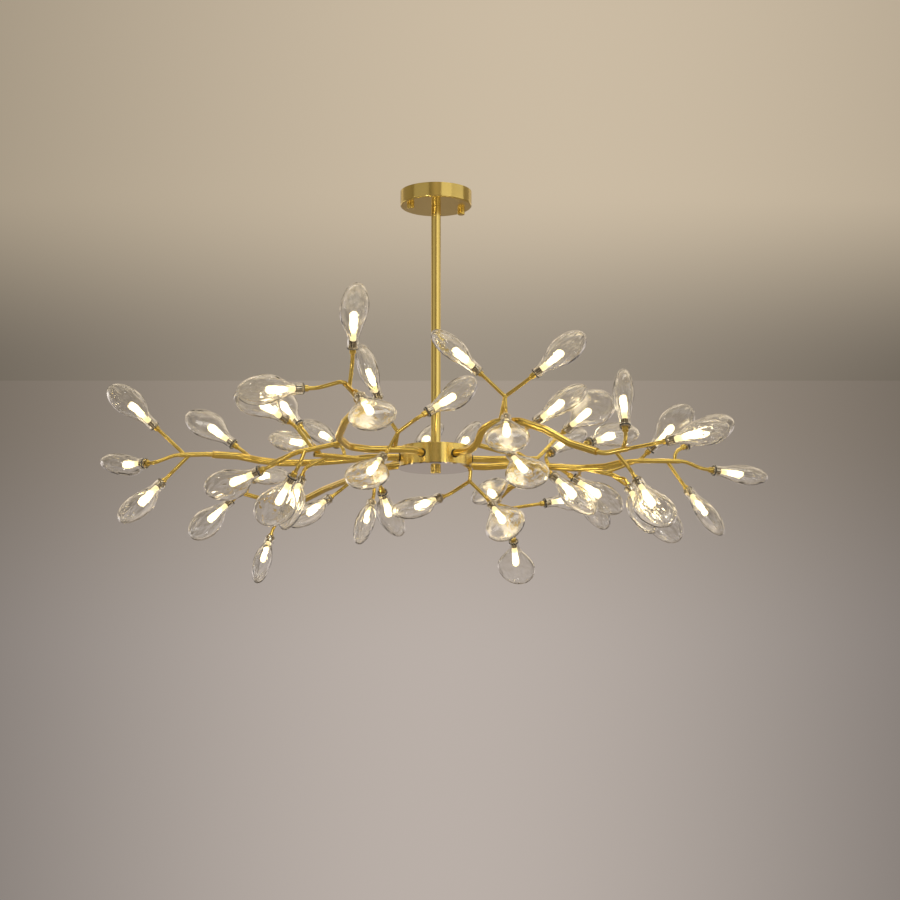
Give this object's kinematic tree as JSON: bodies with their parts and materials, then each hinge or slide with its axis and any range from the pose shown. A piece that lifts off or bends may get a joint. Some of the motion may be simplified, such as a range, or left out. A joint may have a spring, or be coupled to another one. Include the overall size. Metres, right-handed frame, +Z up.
{
  "type": "branch chandelier",
  "caption": "Brass branch chandelier: ceiling canopy, down rod and round hub with bent arms whose twigs carry capsule lamps in clear pod-shaped glass shades.",
  "frame": {"origin": "middle of the ceiling plane, on the rod's axis, where the mounting bar's feet and the canopy rim meet the ceiling", "axes": "+Z up into the ceiling, +X to the right and +Y away from a viewer in front; the rod hangs along -Z"},
  "size_m": [1.1004, 0.9041, 0.6253],
  "materials": {
    "zinc_steel": "zinc-plated steel",
    "brushed_brass": "brushed satin brass",
    "mirror_plate": "polished mirror plate",
    "white_plastic": "moulded matte",
    "clear_cable": "smooth sheath",
    "dark_rubber": "matte",
    "dark_nickel": "dark plated metal",
    "warm_lamp": "frosted capsule, lit warm white",
    "clear_glass": "clear blown glass"
  },
  "bodies": {
    "ceiling": {"mounting_bar": "zinc_steel", "canopy_studs": "zinc_steel", "terminal_block": "white_plastic", "led_driver": "white_plastic", "rod_nipple": "zinc_steel", "nipple_nuts": "zinc_steel"},
    "canopy": {"canopy_cup": "brushed_brass", "canopy_nuts": "brushed_brass"},
    "stem": {"down_rod": "brushed_brass", "supply_cable": "clear_cable", "hub_drum": "brushed_brass", "hub_stud": "zinc_steel", "hub_nut": "zinc_steel", "hub_connector": "white_plastic", "arm_clamps": "zinc_steel", "arm_grommets": "dark_rubber"},
    "hub_cover": {"hub_cover_plate": "mirror_plate", "hub_finial": "brushed_brass"},
    "front_left_arm": {"front_left_main_tube": "brushed_brass", "front_left_tip_tubes": "brushed_brass", "front_left_twigs": "brushed_brass", "front_left_sockets": "dark_nickel", "front_left_lamps": "warm_lamp", "front_left_shades": "clear_glass"},
    "front_left_glass": {"front_left_end_shade": "clear_glass"},
    "left_arm": {"left_main_tube": "brushed_brass", "left_tip_tubes": "brushed_brass", "left_twigs": "brushed_brass", "left_sockets": "dark_nickel", "left_lamps": "warm_lamp", "left_shades": "clear_glass"},
    "left_glass": {"left_end_shade": "clear_glass"},
    "rear_left_arm": {"rear_left_main_tube": "brushed_brass", "rear_left_tip_tubes": "brushed_brass", "rear_left_twigs": "brushed_brass", "rear_left_sockets": "dark_nickel", "rear_left_lamps": "warm_lamp", "rear_left_shades": "clear_glass"},
    "rear_left_glass": {"rear_left_end_shade": "clear_glass"},
    "front_right_arm": {"front_right_main_tube": "brushed_brass", "front_right_tip_tubes": "brushed_brass", "front_right_twigs": "brushed_brass", "front_right_sockets": "dark_nickel", "front_right_lamps": "warm_lamp", "front_right_shades": "clear_glass"},
    "front_right_glass": {"front_right_end_shade": "clear_glass"},
    "right_arm": {"right_main_tube": "brushed_brass", "right_tip_tubes": "brushed_brass", "right_twigs": "brushed_brass", "right_sockets": "dark_nickel", "right_lamps": "warm_lamp", "right_shades": "clear_glass"},
    "right_glass": {"right_end_shade": "clear_glass"},
    "rear_right_arm": {"rear_right_main_tube": "brushed_brass", "rear_right_tip_tubes": "brushed_brass", "rear_right_twigs": "brushed_brass", "rear_right_sockets": "dark_nickel", "rear_right_lamps": "warm_lamp", "rear_right_shades": "clear_glass"},
    "rear_right_glass": {"rear_right_end_shade": "clear_glass"}
  },
  "joints": [
    {"name": "rod_swivel", "type": "hinge", "parent": "ceiling", "child": "stem", "pos_m": [0, 0, -0.023], "axis": [0, 0, 1], "range_deg": [-90, 90]},
    {"name": "canopy_drop", "type": "slide", "parent": "ceiling", "child": "canopy", "axis": [0, 0, -1], "range_m": [0, 0.12]},
    {"name": "cover_drop", "type": "slide", "parent": "stem", "child": "hub_cover", "axis": [0, 0, -1], "range_m": [0, 0.024]},
    {"name": "front_left_swivel", "type": "hinge", "parent": "stem", "child": "front_left_arm", "pos_m": [-0.02248, -0.05563, -0.4535], "axis": [-0.3746, -0.9272, 0], "range_deg": [-15, 15]},
    {"name": "front_left_glass_pull", "type": "slide", "parent": "front_left_arm", "child": "front_left_glass", "axis": [-0.9285, -0.3564, -0.1045], "range_m": [0, 0.06]},
    {"name": "left_swivel", "type": "hinge", "parent": "stem", "child": "left_arm", "pos_m": [-0.05942, -0.00835, -0.4535], "axis": [-0.9903, -0.1392, 0], "range_deg": [-15, 15]},
    {"name": "left_glass_pull", "type": "slide", "parent": "left_arm", "child": "left_glass", "axis": [-0.7296, 0.6803, 0.0698], "range_m": [0, 0.06]},
    {"name": "rear_left_swivel", "type": "hinge", "parent": "stem", "child": "rear_left_arm", "pos_m": [-0.03694, 0.04728, -0.4535], "axis": [-0.6157, 0.788, 0], "range_deg": [-15, 15]},
    {"name": "rear_left_glass_pull", "type": "slide", "parent": "rear_left_arm", "child": "rear_left_glass", "axis": [-0.7166, -0.0627, -0.6947], "range_m": [0, 0.06]},
    {"name": "front_right_swivel", "type": "hinge", "parent": "stem", "child": "front_right_arm", "pos_m": [0.03179, -0.05088, -0.4535], "axis": [0.5299, -0.848, 0], "range_deg": [-15, 15]},
    {"name": "front_right_glass_pull", "type": "slide", "parent": "front_right_arm", "child": "front_right_glass", "axis": [0.8596, -0.4963, 0.1219], "range_m": [0, 0.06]},
    {"name": "right_swivel", "type": "hinge", "parent": "stem", "child": "right_arm", "pos_m": [0.05942, 0.00835, -0.4535], "axis": [0.9903, 0.1392, 0], "range_deg": [-15, 15]},
    {"name": "right_glass_pull", "type": "slide", "parent": "right_arm", "child": "right_glass", "axis": [0.9183, 0.3898, -0.0698], "range_m": [0, 0.06]},
    {"name": "rear_right_swivel", "type": "hinge", "parent": "stem", "child": "rear_right_arm", "pos_m": [0.02248, 0.05563, -0.4535], "axis": [0.3746, 0.9272, 0], "range_deg": [-15, 15]},
    {"name": "rear_right_glass_pull", "type": "slide", "parent": "rear_right_arm", "child": "rear_right_glass", "axis": [0.1001, 0.7123, -0.6947], "range_m": [0, 0.06]}
  ]
}
